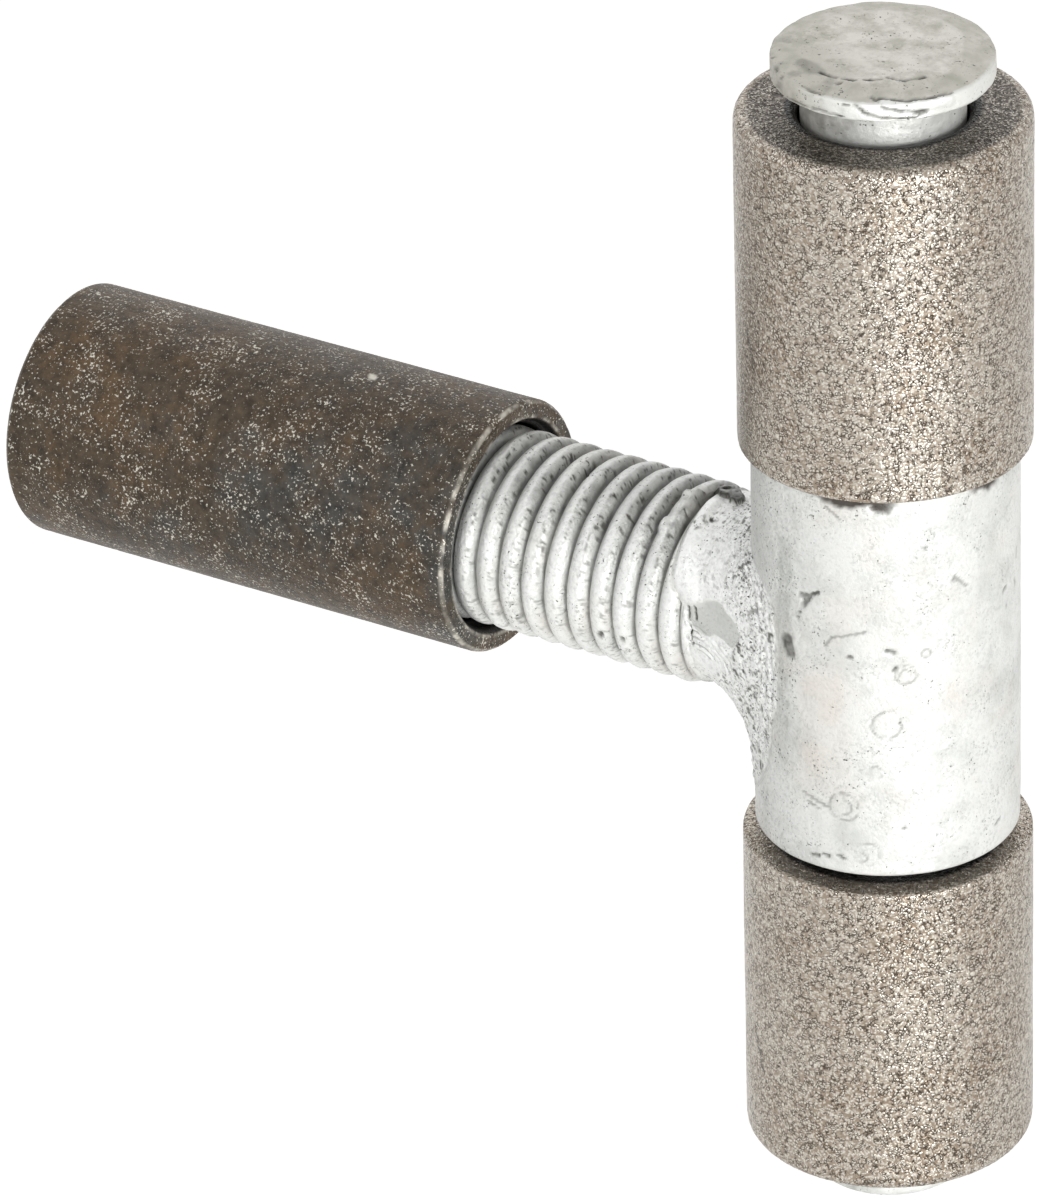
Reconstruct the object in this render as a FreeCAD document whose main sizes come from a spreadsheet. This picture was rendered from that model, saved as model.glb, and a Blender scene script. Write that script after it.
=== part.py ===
import FreeCAD
import Part
import Sketcher
import os

# Adjustable gate hinge of the weld-on kind.
# A threaded sleeve is welded into the gate post.
# A threaded stud screws into the sleeve and is welded to the centre barrel.
# The upper and lower barrels are welded to the gate and turn on one headed pin.
#
# Frame: the origin is the middle of the post sleeve, on its axis.
# +X runs along the stud towards the pin, +Z runs up along the pin.
# All sizes are in millimetres and degrees.

SIZES = {
    # post sleeve
    "sleeve_diameter": 31.0,
    "sleeve_length": 62.2,
    "sleeve_edge_bevel": 0.5,
    "sleeve_mouth_bevel": 1.0,
    # adjusting stud: a coarse thread of 24 mm, with a neck where it is welded on
    "stud_diameter": 24.0,
    "stud_clearance": 0.3,
    "stud_length": 75.4,
    "stud_tip_bevel": 1.8,
    "thread_pitch": 3.0,
    "thread_depth": 1.5,
    "thread_root_width": 0.5,
    "thread_mouth_width": 2.3,
    "thread_lead_in": 0.75,
    "thread_overcut": 0.3,
    "neck_length": 9.5,
    # how far the neck and saddle cuts run past the rod
    "cut_overrun": 1.0,
    # how far the stud is screwed out: sleeve mouth to pin axis
    "reach": 51.3,
    # centre barrel: its lower end hangs this far below the stud's axis
    "centre_diameter": 31.2,
    "centre_length": 50.0,
    "centre_drop": 24.1,
    "centre_edge_round": 0.4,
    # gate barrels, cast
    "gate_diameter": 34.2,
    "upper_length": 42.0,
    "lower_length": 40.7,
    "lower_gap": 1.6,
    "far_edge_round": 1.2,
    "near_edge_round": 0.5,
    "bore_mouth_bevel": 0.8,
    # hinge pin
    "pin_diameter": 18.9,
    "centre_bore_clearance": 0.1,
    "gate_bore_clearance": 0.3,
    "pin_end_below": 5.6,
    "pin_end_bevel": 0.5,
    "head_diameter": 25.7,
    "head_rim_height": 2.2,
    "head_bevel_height": 1.0,
    "head_bevel_width": 3.8,
    "head_root_round": 0.5,
    "head_stand_off": 4.2,
    # fillet weld between stud and centre barrel, heavier below than above;
    # it starts on the neck, just clear of the thread
    "weld_top_leg": 9.4,
    "weld_bottom_leg": 7.9,
    "weld_lip": 0.5,
    "weld_top_rise": 0.6,
    "weld_toe_drop": 9.0,
    "weld_side_at_face": 14.2,
    "weld_side_inset": 0.5,
    "weld_end_depth": 12.1,
}

# Lengths that several pieces share, as expressions on the sheet.
STUD_RADIUS = "(Sizes.stud_diameter / 2)"
NECK_RADIUS = "(Sizes.stud_diameter / 2 - Sizes.thread_depth)"
CENTRE_RADIUS = "(Sizes.centre_diameter / 2)"
PIN_RADIUS = "(Sizes.pin_diameter / 2)"
PIN_AXIS_X = "(Sizes.sleeve_length / 2 + Sizes.reach)"
CENTRE_TOP = "(Sizes.centre_length - Sizes.centre_drop)"
UPPER_TOP = "(Sizes.centre_length - Sizes.centre_drop + Sizes.upper_length)"
LOWER_BOTTOM = "(-Sizes.centre_drop - Sizes.lower_gap - Sizes.lower_length)"
HEAD_BASE = "(%s + Sizes.head_stand_off)" % UPPER_TOP

# The same lengths as numbers, to find edges by their place.
STUD_R = SIZES["stud_diameter"] / 2
CENTRE_R = SIZES["centre_diameter"] / 2
PIN_R = SIZES["pin_diameter"] / 2
STUD_TIP = -CENTRE_R - SIZES["stud_length"]

# A circle or line starts with this size until its expression sets the real one.
START_SIZE = 10.0
NEAR = 1e-4

document = FreeCAD.newDocument("adjustable_gate_hinge")


def make_sheet():
    """Put every driving size in the sheet, one named cell each."""
    sheet = document.addObject("Spreadsheet::Sheet", "Sizes")
    for row, (name, value) in enumerate(SIZES.items(), start=1):
        sheet.set("A%d" % row, name)
        sheet.set("B%d" % row, str(value))
        sheet.setAlias("B%d" % row, name)
    document.recompute()
    return sheet


def bind(thing, **expressions):
    """Tie properties to the sheet; a double underscore stands for a dot."""
    for name, expression in expressions.items():
        thing.setExpression(name.replace("__", "."), expression)


def new_body(label):
    """An empty body for one sub-part, named after it."""
    body = document.addObject("PartDesign::Body", label)
    body.Label = label
    return body


def origin_feature(body, role):
    """One of the body's own origin planes or axes."""
    return next(item for item in body.Origin.OriginFeatures if item.Role == role)


def flat_sketch(body, name, role):
    """An empty sketch on one of the body's origin planes."""
    sketch = body.newObject("Sketcher::SketchObject", name)
    sketch.AttachmentSupport = [(origin_feature(body, role), "")]
    sketch.MapMode = "FlatFace"
    return sketch


def circle_sketch(body, name, role, *radii):
    """Circles about the sketch's origin, one for each radius expression."""
    sketch = flat_sketch(body, name, role)
    for index, radius in enumerate(radii):
        start = START_SIZE * (index + 1)
        circle = Part.Circle(FreeCAD.Vector(), FreeCAD.Vector(0, 0, 1), start)
        sketch.addGeometry(circle, False)
        sketch.addConstraint(Sketcher.Constraint("Coincident", index, 3, -1, 1))
        row = sketch.addConstraint(Sketcher.Constraint("Radius", index, start))
        sketch.setExpression("Constraints[%d]" % row, radius)
    return sketch


def pad(body, name, sketch, length, reverse=False, both=False):
    """Extrude a sketch by a length expression."""
    feature = body.newObject("PartDesign::Pad", name)
    feature.Profile = sketch
    feature.Reversed = reverse
    feature.Midplane = both
    bind(feature, Length=length)
    document.recompute()
    return feature


def round_edges(feature, radius, along, place):
    """Names of the circular edges of this radius, square to an axis, at this place on it."""
    names = []
    for index, edge in enumerate(feature.Shape.Edges, start=1):
        curve = edge.Curve
        if curve.TypeId != "Part::GeomCircle" or abs(curve.Radius - radius) > NEAR:
            continue
        if abs(curve.Center.dot(along) - place) < NEAR:
            names.append("Edge%d" % index)
    if not names:
        raise RuntimeError("%s has no round edge of radius %g at %g" % (feature.Label, radius, place))
    return names


def bevel(body, name, feature, edges, size):
    """An even bevel on the named edges."""
    chamfer = body.newObject("PartDesign::Chamfer", name)
    chamfer.Base = (feature, edges)
    bind(chamfer, Size=size)
    document.recompute()
    return chamfer


def fillet(body, name, feature, edges, radius):
    """A round on the named edges."""
    result = body.newObject("PartDesign::Fillet", name)
    result.Base = (feature, edges)
    bind(result, Radius=radius)
    document.recompute()
    return result


ALONG_X = FreeCAD.Vector(1, 0, 0)
ALONG_Z = FreeCAD.Vector(0, 0, 1)


def make_post_sleeve():
    """Thick sleeve for the post, bored just over the stud, with a bevelled mouth at each end."""
    body = new_body("post_sleeve")
    bore = "%s + Sizes.stud_clearance" % STUD_RADIUS
    ring = circle_sketch(body, "sleeve_ring", "YZ_Plane", bore, "Sizes.sleeve_diameter / 2")
    tube = pad(body, "sleeve_tube", ring, "Sizes.sleeve_length", both=True)
    half = SIZES["sleeve_length"] / 2
    outer = SIZES["sleeve_diameter"] / 2
    inner = STUD_R + SIZES["stud_clearance"]
    rims = round_edges(tube, outer, ALONG_X, -half) + round_edges(tube, outer, ALONG_X, half)
    rimmed = bevel(body, "sleeve_rims", tube, rims, "Sizes.sleeve_edge_bevel")
    mouths = round_edges(rimmed, inner, ALONG_X, -half) + round_edges(rimmed, inner, ALONG_X, half)
    bevel(body, "sleeve_mouths", rimmed, mouths, "Sizes.sleeve_mouth_bevel")
    return body


def make_adjusting_stud():
    """Threaded stud: plain rod, neck, saddle end for the barrel and a left-hand thread, as in the photograph."""
    body = new_body("adjusting_stud")
    disc = circle_sketch(body, "stud_disc", "YZ_Plane", STUD_RADIUS)
    rod_length = "Sizes.stud_length + %s" % CENTRE_RADIUS
    rod = pad(body, "stud_rod", disc, rod_length, reverse=True)
    tip = round_edges(rod, STUD_R, ALONG_X, STUD_TIP)
    tipped = bevel(body, "stud_tip", rod, tip, "Sizes.stud_tip_bevel")

    past_rod = "%s + Sizes.cut_overrun" % STUD_RADIUS
    necking = circle_sketch(body, "neck_ring", "YZ_Plane", NECK_RADIUS, past_rod)
    neck = body.newObject("PartDesign::Pocket", "stud_neck")
    neck.Profile = necking
    neck.Reversed = True
    bind(neck, Length="Sizes.neck_length + %s" % CENTRE_RADIUS)
    document.recompute()
    if neck.Shape.Volume >= tipped.Shape.Volume:
        neck.Reversed = False
        document.recompute()

    saddle = circle_sketch(body, "saddle_disc", "XY_Plane", CENTRE_RADIUS)
    cope = body.newObject("PartDesign::Pocket", "stud_saddle")
    cope.Profile = saddle
    cope.Midplane = True
    bind(cope, Length="2 * (%s)" % past_rod)
    document.recompute()

    groove = thread_profile(body)
    thread = body.newObject("PartDesign::SubtractiveHelix", "stud_thread")
    thread.Profile = groove
    thread.ReferenceAxis = (groove, ["H_Axis"])
    thread.Mode = "pitch-height-angle"
    thread.LeftHanded = True
    bind(
        thread,
        Pitch="Sizes.thread_pitch",
        Height="Sizes.stud_length - Sizes.neck_length + Sizes.thread_lead_in + Sizes.thread_pitch",
    )
    document.recompute()
    bind(body, Placement__Base__x=PIN_AXIS_X)
    return body


def thread_profile(body):
    """Section of the thread groove, on the top of the stud and just outside its tip."""
    sketch = flat_sketch(body, "thread_groove", "XZ_Plane")
    centre = "(-%s - Sizes.stud_length - Sizes.thread_lead_in)" % CENTRE_RADIUS
    widening = "(Sizes.thread_mouth_width - Sizes.thread_root_width)"
    slope = "(%s / (2 * Sizes.thread_depth))" % widening
    wide = "(Sizes.thread_mouth_width / 2 + Sizes.thread_overcut * %s)" % slope
    outside = "%s + Sizes.thread_overcut" % STUD_RADIUS
    narrow = "(Sizes.thread_root_width / 2)"
    corners = (
        ("%s - %s" % (centre, narrow), NECK_RADIUS),
        ("%s + %s" % (centre, narrow), NECK_RADIUS),
        ("%s + %s" % (centre, wide), outside),
        ("%s - %s" % (centre, wide), outside),
    )
    middle = STUD_TIP - SIZES["thread_lead_in"]
    root = SIZES["thread_root_width"] / 2
    mouth = SIZES["thread_mouth_width"] / 2
    bottom = STUD_R - SIZES["thread_depth"]
    start = [
        FreeCAD.Vector(middle - root, bottom),
        FreeCAD.Vector(middle + root, bottom),
        FreeCAD.Vector(middle + mouth, STUD_R),
        FreeCAD.Vector(middle - mouth, STUD_R),
    ]
    for index in range(4):
        sketch.addGeometry(Part.LineSegment(start[index], start[(index + 1) % 4]), False)
    for index in range(4):
        sketch.addConstraint(Sketcher.Constraint("Coincident", index, 2, (index + 1) % 4, 1))
    for index, (along, out) in enumerate(corners):
        row = sketch.addConstraint(
            Sketcher.Constraint("DistanceX", -1, 1, index, 1, start[index].x)
        )
        sketch.setExpression("Constraints[%d]" % row, along)
        row = sketch.addConstraint(
            Sketcher.Constraint("DistanceY", -1, 1, index, 1, start[index].y)
        )
        sketch.setExpression("Constraints[%d]" % row, out)
    document.recompute()
    return sketch


def make_barrel(label, diameter, length, clearance, base, low_round, high_round):
    """A bored barrel that stands on its own origin, with rounded rims and bevelled bore mouths."""
    body = new_body(label)
    bore = "%s + Sizes.%s" % (PIN_RADIUS, clearance)
    ring = circle_sketch(body, label + "_ring", "XY_Plane", bore, "Sizes.%s / 2" % diameter)
    tube = pad(body, label + "_tube", ring, "Sizes.%s" % length)
    outer = SIZES[diameter] / 2
    inner = PIN_R + SIZES[clearance]
    tall = SIZES[length]
    low_rim = round_edges(tube, outer, ALONG_Z, 0)
    low = fillet(body, label + "_low_rim", tube, low_rim, "Sizes.%s" % low_round)
    high_rim = round_edges(low, outer, ALONG_Z, tall)
    high = fillet(body, label + "_high_rim", low, high_rim, "Sizes.%s" % high_round)
    mouths = round_edges(high, inner, ALONG_Z, 0) + round_edges(high, inner, ALONG_Z, tall)
    bevel(body, label + "_mouths", high, mouths, "Sizes.bore_mouth_bevel")
    bind(body, Placement__Base__x=PIN_AXIS_X, Placement__Base__z=base)
    return body


def make_hinge_pin():
    """Headed pin: its own origin is under the head, the shank runs down from there."""
    body = new_body("hinge_pin")
    shank_disc = circle_sketch(body, "shank_disc", "XY_Plane", PIN_RADIUS)
    shank_length = "%s - %s + Sizes.pin_end_below" % (HEAD_BASE, LOWER_BOTTOM)
    shank = pad(body, "pin_shank", shank_disc, shank_length, reverse=True)
    shank_end = min(vertex.Z for vertex in shank.Shape.Vertexes)
    end = round_edges(shank, PIN_R, ALONG_Z, shank_end)
    ended = bevel(body, "pin_end", shank, end, "Sizes.pin_end_bevel")

    head_disc = circle_sketch(body, "head_disc", "XY_Plane", "Sizes.head_diameter / 2")
    head = pad(body, "pin_head", head_disc, "Sizes.head_rim_height + Sizes.head_bevel_height")
    if head.Shape.Volume <= ended.Shape.Volume:
        raise RuntimeError("the pin's head adds nothing")
    head_top = SIZES["head_rim_height"] + SIZES["head_bevel_height"]
    rim = round_edges(head, SIZES["head_diameter"] / 2, ALONG_Z, head_top)
    crown = body.newObject("PartDesign::Chamfer", "head_crown")
    crown.Base = (head, rim)
    crown.ChamferType = "Two distances"
    bind(crown, Size="Sizes.head_bevel_height", Size2="Sizes.head_bevel_width")
    document.recompute()
    widest_top = top_face_radius(crown, head_top)
    if abs(widest_top - (SIZES["head_diameter"] / 2 - SIZES["head_bevel_width"])) > NEAR:
        crown.FlipDirection = True
        document.recompute()
    root = round_edges(crown, PIN_R, ALONG_Z, 0)
    fillet(body, "head_root", crown, root, "Sizes.head_root_round")
    bind(body, Placement__Base__x=PIN_AXIS_X, Placement__Base__z=HEAD_BASE)
    return body


def top_face_radius(feature, height):
    """Radius of the flat face at this height."""
    edges = [edge for edge in feature.Shape.Edges if edge.Curve.TypeId == "Part::GeomCircle"]
    return max(edge.Curve.Radius for edge in edges if abs(edge.Curve.Center.z - height) < NEAR)


# The weld is lofted through ovals that run from the neck of the stud into the barrel.
# Each oval leans: its top and bottom points follow the weld's upper and lower outline.
# Above, that outline is nearly straight; below, it is a hollow quarter oval.
WELD_TURNS = (0, 18, 36, 54, 72, 90)


def weld_oval(index, top_x, top_z, bottom_x, bottom_z, half_width):
    """One section of the weld, given by its top point, its bottom point and its half width."""
    oval = document.addObject("Part::Ellipse", "weld_oval_%d" % index)
    run = "(%s - %s)" % (top_x, bottom_x)
    rise = "(%s - %s)" % (top_z, bottom_z)
    oval.Placement.Rotation = FreeCAD.Rotation(FreeCAD.Vector(0, 1, 0), -90)
    bind(
        oval,
        MajorRadius="sqrt(%s ^ 2 + %s ^ 2) / 2" % (run, rise),
        MinorRadius=half_width,
        Placement__Base__x="%s + (%s + %s) / 2" % (PIN_AXIS_X, top_x, bottom_x),
        Placement__Base__z="(%s + %s) / 2" % (top_z, bottom_z),
        Placement__Rotation__Angle="-atan2(%s; %s)" % (rise, run),
    )
    return oval


def make_stud_weld():
    """Fillet weld round the stud's neck, cut to sit on the neck and on the centre barrel."""
    face = "(-%s)" % CENTRE_RADIUS
    start_z = "(%s + Sizes.weld_lip)" % NECK_RADIUS
    top_at_face = "(%s + Sizes.weld_top_rise)" % STUD_RADIUS
    toe = "(-%s - Sizes.weld_toe_drop)" % STUD_RADIUS
    ovals = []
    for index, turn in enumerate(WELD_TURNS):
        share = "%g" % (turn / WELD_TURNS[-1])
        top_x = "(%s - Sizes.weld_top_leg * (1 - %s))" % (face, share)
        top_z = "(%s + (%s - %s) * %s)" % (start_z, top_at_face, start_z, share)
        bottom_x = "(%s - Sizes.weld_bottom_leg * (1 - sin(%d deg)))" % (face, turn)
        bottom_z = "(%s + (-%s - %s) * cos(%d deg))" % (toe, start_z, toe, turn)
        side = "%s + (Sizes.weld_side_at_face - %s) * %s ^ 2" % (start_z, start_z, share)
        ovals.append(weld_oval(index, top_x, top_z, bottom_x, bottom_z, side))
    last_x = "(%s + Sizes.weld_end_depth)" % face
    last_side = "%s - Sizes.weld_side_inset" % CENTRE_RADIUS
    ovals.append(weld_oval(len(ovals), last_x, top_at_face, last_x, toe, last_side))
    body = document.addObject("Part::Loft", "weld_body")
    body.Sections = ovals
    body.Solid = True
    body.Ruled = True

    barrel = document.addObject("Part::Cylinder", "weld_barrel_seat")
    bind(
        barrel,
        Radius=CENTRE_RADIUS,
        Height="Sizes.centre_length",
        Placement__Base__x=PIN_AXIS_X,
        Placement__Base__z="-Sizes.centre_drop",
    )
    neck = document.addObject("Part::Cylinder", "weld_neck_seat")
    neck.Placement.Rotation = FreeCAD.Rotation(FreeCAD.Vector(0, 1, 0), -90)
    bind(
        neck,
        Radius=NECK_RADIUS,
        Height="Sizes.stud_length",
        Placement__Base__x=PIN_AXIS_X,
    )
    off_barrel = document.addObject("Part::Cut", "weld_off_barrel")
    off_barrel.Base = body
    off_barrel.Tool = barrel
    weld = document.addObject("Part::Cut", "stud_weld")
    weld.Base = off_barrel
    weld.Tool = neck
    weld.Label = "stud_weld"
    document.recompute()
    return weld


def check(sub_parts):
    """Stop if any object of the document failed or any sub-part isn't one sound solid."""
    for item in document.Objects:
        if "Invalid" in item.State or "Error" in item.State:
            raise RuntimeError("%s failed: %s" % (item.Label, item.State))
    for item in sub_parts:
        if item.Shape.isNull() or not item.Shape.isValid():
            raise RuntimeError("%s has no valid shape" % item.Label)
        if len(item.Shape.Solids) != 1:
            raise RuntimeError("%s has %d solids" % (item.Label, len(item.Shape.Solids)))


make_sheet()
SUB_PARTS = [
    make_post_sleeve(),
    make_adjusting_stud(),
    make_barrel(
        "centre_barrel",
        "centre_diameter",
        "centre_length",
        "centre_bore_clearance",
        "-Sizes.centre_drop",
        "centre_edge_round",
        "centre_edge_round",
    ),
    make_stud_weld(),
    make_barrel(
        "upper_barrel",
        "gate_diameter",
        "upper_length",
        "gate_bore_clearance",
        CENTRE_TOP,
        "near_edge_round",
        "far_edge_round",
    ),
    make_barrel(
        "lower_barrel",
        "gate_diameter",
        "lower_length",
        "gate_bore_clearance",
        LOWER_BOTTOM,
        "far_edge_round",
        "near_edge_round",
    ),
    make_hinge_pin(),
]
document.recompute()
check(SUB_PARTS)

os.makedirs("parts", exist_ok=True)
for sub_part in SUB_PARTS:
    sub_part.Shape.exportStep("parts/%s.step" % sub_part.Label)
    box = sub_part.Shape.BoundBox
    print("%-15s %9.1f mm3  x %7.2f..%7.2f  y %6.2f..%6.2f  z %7.2f..%7.2f" % (
        sub_part.Label, sub_part.Shape.Volume,
        box.XMin, box.XMax, box.YMin, box.YMax, box.ZMin, box.ZMax,
    ))
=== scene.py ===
import functools
import itertools
import math

import bpy
import numpy as np
from bpy.props import FloatProperty, FloatVectorProperty, PointerProperty
from mathutils import Matrix, Vector


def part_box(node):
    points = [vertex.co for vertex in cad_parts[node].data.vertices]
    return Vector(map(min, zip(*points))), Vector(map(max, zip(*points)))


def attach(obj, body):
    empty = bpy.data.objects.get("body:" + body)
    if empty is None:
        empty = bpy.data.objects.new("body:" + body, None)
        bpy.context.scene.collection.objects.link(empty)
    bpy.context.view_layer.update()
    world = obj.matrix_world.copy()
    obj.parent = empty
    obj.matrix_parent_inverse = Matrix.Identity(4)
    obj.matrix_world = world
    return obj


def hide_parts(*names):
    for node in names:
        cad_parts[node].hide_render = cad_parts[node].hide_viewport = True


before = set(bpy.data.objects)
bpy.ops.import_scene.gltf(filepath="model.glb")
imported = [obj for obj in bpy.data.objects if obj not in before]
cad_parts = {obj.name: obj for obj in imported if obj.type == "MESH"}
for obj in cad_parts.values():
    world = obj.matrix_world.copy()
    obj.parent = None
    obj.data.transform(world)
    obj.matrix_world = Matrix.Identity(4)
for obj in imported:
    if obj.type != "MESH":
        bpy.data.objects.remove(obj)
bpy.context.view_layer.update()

bl_info = {
    "name": "Adjustable gate hinge",
    "version": (1, 0, 0),
    "blender": (4, 5, 0),
    "location": "3D View > Sidebar > Gate hinge",
    "description": "Dresses the packed solids of a weld-on gate hinge with cast, scaled and galvanised steel",
    "category": "Object",
}

MM = 0.001

# Radii of the solids' rods and bores and of the flat on the pin's head, in millimetres. Their other sizes
# come from the frame's boxes.
STUD_RADIUS = 12.0
SLEEVE_BORE = 12.3
PIN_RADIUS = 9.45
CENTRE_BORE = 9.55
GATE_BORE = 9.75
HEAD_FLAT_RADIUS = 9.05
# The spacing of the thread's crests in the photograph, and where one valley crosses the top of the stud.
THREAD_PITCH = 3.12
THREAD_START = -6.86
# Round the stud, in degrees from +Y towards +Z: where the weld starts along the stud, how far out it
# starts, and how far out its toe lies on the centre barrel.
START_TURN, START_X, START_OUT = np.array((
    (0, 60.6, 10.7), (30, 60.0, 10.9), (60, 59.4, 11.2), (90, 59.0, 11.4), (125, 58.9, 11.3), (145, 58.8, 11.3),
    (152, 58.9, 11.4), (164, 61.6, 11.4), (172, 61.6, 10.9), (181, 61.5, 10.7), (198, 61.3, 10.7),
    (214, 61.1, 10.7), (240, 60.9, 10.7), (270, 60.8, 10.7), (315, 60.8, 10.7),
)).T
TOE_TURN, TOE_OUT = np.array((
    (0, 15.0), (20, 15.9), (35, 16.3), (60, 13.9), (90, 12.55), (120, 14.0), (140, 16.4), (150, 15.9), (160, 14.9),
    (172, 14.4), (188, 14.5), (206, 15.6), (219, 17.5), (230, 20.1), (240, 21.6), (255, 21.6), (270, 21.0),
    (285, 21.6), (300, 21.6), (309, 20.1), (329, 16.5), (345, 15.05),
)).T


def linear(hex_colour):
    """An sRGB hex colour as the linear colour, with alpha, that Blender's sockets take."""
    parts = [int(hex_colour[place:place + 2], 16) / 255 for place in (1, 3, 5)]
    return [part / 12.92 if part <= 0.04045 else ((part + 0.055) / 1.055) ** 2.4 for part in parts] + [1.0]


def scatter(x, y, z, seed):
    """An even random number from 0 to 1 for each whole-number point, the same on every run."""
    mixed = (x * 374761393 + y * 668265263 + z * 1440662683 + seed * 1274126177) & 0xFFFFFFFF
    mixed = ((mixed ^ (mixed >> 13)) * 1274126177) & 0xFFFFFFFF
    mixed = ((mixed ^ (mixed >> 15)) * 668265263) & 0xFFFFFFFF
    return (mixed ^ (mixed >> 16)) / 0xFFFFFFFF


def lumps(points, size, seed):
    """Soft lumps from -1 to 1, about `size` across."""
    place = points / size + seed * 0.37
    base = np.floor(place).astype(np.int64)
    part = place - base
    part = part ** 3 * (part * (part * 6 - 15) + 10)
    total = np.zeros(len(points))
    for corner in itertools.product((0, 1), repeat=3):
        weight = np.ones(len(points))
        for axis in range(3):
            weight *= part[:, axis] if corner[axis] else 1 - part[:, axis]
        at = base + np.array(corner)
        total += weight * scatter(at[:, 0], at[:, 1], at[:, 2], seed)
    return total * 2 - 1


def rough(points, size, seed, layers=3):
    """Lumps with finer lumps on them, each layer half the size and height of the one before."""
    total = sum(lumps(points, size / 2 ** layer, seed + layer) / 2 ** layer for layer in range(layers))
    return total / (2 - 2 ** (1 - layers))


def grains(points, size, seed):
    """For packed grains `size` apart: distance to the nearest, to the next, and a number of the nearest."""
    place = points / size
    base = np.floor(place).astype(np.int64)
    first = np.full(len(points), 9.0)
    second = np.full(len(points), 9.0)
    number = np.zeros(len(points))
    for corner in itertools.product((-1, 0, 1), repeat=3):
        at = base + np.array(corner)
        x, y, z = at[:, 0], at[:, 1], at[:, 2]
        middle = np.stack([scatter(x, y, z, seed + axis) for axis in range(3)], axis=1)
        away = np.sqrt(((at + middle - place) ** 2).sum(axis=1))
        nearer = away < first
        second = np.where(nearer, first, np.minimum(second, away))
        number = np.where(nearer, scatter(x, y, z, seed + 3), number)
        first = np.where(nearer, away, first)
    return first, second, number


def ease(low, high, value):
    """0 below low, 1 above high, and an even slope with soft ends between."""
    share = np.clip((value - low) / (high - low), 0, 1)
    return share * share * (3 - 2 * share)

def band(start, full, fade, end, value):
    """0 outside start and end, 1 between full and fade."""
    return ease(start, full, value) * (1 - ease(fade, end, value))


def most(*values):
    """The highest of several values at each point."""
    return functools.reduce(np.maximum, values)


def mark(points, places, width, seed):
    """1 on a line through the given places, falling to 0 at about `width` from it, with a ragged edge."""
    places = np.array(places, dtype=float)
    away = np.full(len(points), np.inf)
    for start, end in zip(places, np.vstack((places[1:], places[-1:]))):
        run = end - start
        share = np.clip((points - start) @ run / max(run @ run, 1e-9), 0, 1)
        away = np.minimum(away, np.linalg.norm(points - start - share[:, None] * run, axis=1))
    shown = np.zeros(len(points))
    close = away < 2 * width
    ragged = away[close] + 0.3 * width * lumps(points[close], 0.7 * width, seed)
    shown[close] = 1 - ease(0.4 * width, width, ragged)
    return shown


def marks(points, lines, seed, place=np.array, scale=1):
    """The strongest of several marks, each given as (width, places), which `place` turns into points."""
    return most(*[mark(points, place(places), scale * width, seed + number)
                  for number, (width, places) in enumerate(lines)])


def round_pin(places, axis_x, radius=None):
    """Places given by degrees round the pin, distance from it if no radius is given, and height, as points."""
    turns = np.radians([place[0] for place in places])
    reaches = np.array([radius or place[1] for place in places])
    heights = [place[-1] for place in places]
    return np.stack((axis_x + reaches * np.cos(turns), reaches * np.sin(turns), heights), axis=1)


def round_stud(places, radius):
    """Places given by distance along the stud and degrees round it, as points at that radius."""
    turns = np.radians([turn for along, turn in places])
    return np.stack(([along for along, turn in places], radius * np.cos(turns), radius * np.sin(turns)), axis=1)


def round_about(turn, places, values):
    """Values at each turn in degrees, drawn smoothly through the given places on the circle."""
    wide = np.concatenate((places - 360, places, places + 360))
    drawn = np.interp(np.arange(-360, 720, 1.0), wide, np.tile(values, 3))
    weights = np.hanning(23)
    smooth = np.convolve(drawn, weights / weights.sum(), mode="same")
    return np.interp(turn, np.arange(-360, 720, 1.0), smooth)


def outline(corners, closed):
    """Points along a section, from corners of (along, out, round, step to the next corner)."""
    path = []
    count = len(corners)
    for index, (along, out, turn, step) in enumerate(corners):
        here = np.array((along, out))
        if turn == 0 or not closed and index in (0, count - 1):
            path.append((here, step))
            continue
        ends = []
        for other in (index - 1, index + 1):
            there = np.array(corners[other % count][:2])
            length = np.linalg.norm(there - here)
            ends.append(here + (there - here) * min(turn, length / 2) / length)
        for share in (0, 0.25, 0.5, 0.75, 1):
            bend = (1 - share) ** 2 * ends[0] + 2 * share * (1 - share) * here + share ** 2 * ends[1]
            path.append((bend, step))
    points = []
    for index, (here, step) in enumerate(path):
        if not closed and index == len(path) - 1:
            points.append(here)
            break
        there = path[(index + 1) % len(path)][0]
        cuts = max(1, round(np.linalg.norm(there - here) / step))
        points.extend(here + (there - here) * cut / cuts for cut in range(cuts))
    return np.array(points)


def turned(corners, columns, closed, axis, axis_x=0):
    """Points, outward normals and faces of a section, given by its corners, turned about an axis."""
    section = outline(corners, closed)
    if closed:
        slope = np.roll(section, -1, axis=0) - np.roll(section, 1, axis=0)
    else:
        slope = np.gradient(section, axis=0)
    slope /= np.linalg.norm(slope, axis=1)[:, None]
    turn = np.arange(columns) * 2 * math.pi / columns
    along, out, lean_along, lean_out = [
        np.repeat(values, columns) for values in (section[:, 0], section[:, 1], -slope[:, 1], slope[:, 0])]
    cosine, sine = [np.tile(values, len(section)) for values in (np.cos(turn), np.sin(turn))]
    if axis == "Z":
        points = np.stack((out * cosine, out * sine, along), axis=1)
        normals = np.stack((lean_out * cosine, lean_out * sine, lean_along), axis=1)
    else:
        points = np.stack((along, out * cosine, out * sine), axis=1)
        normals = np.stack((lean_along, lean_out * cosine, lean_out * sine), axis=1)
    return points + np.array((axis_x, 0, 0)), normals, grid_faces(len(section), columns, closed)


def grid_faces(rows, columns, closed):
    """Four-sided faces of a grid that closes round its columns, and round its rows if asked."""
    last = rows if closed else rows - 1
    row, column = np.meshgrid(np.arange(last), np.arange(columns), indexing="ij")
    above = (row + 1) % rows
    beside = (column + 1) % columns
    corners = (row * columns + column, row * columns + beside, above * columns + beside, above * columns + column)
    return np.stack([corner.ravel() for corner in corners], axis=1).tolist()


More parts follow.
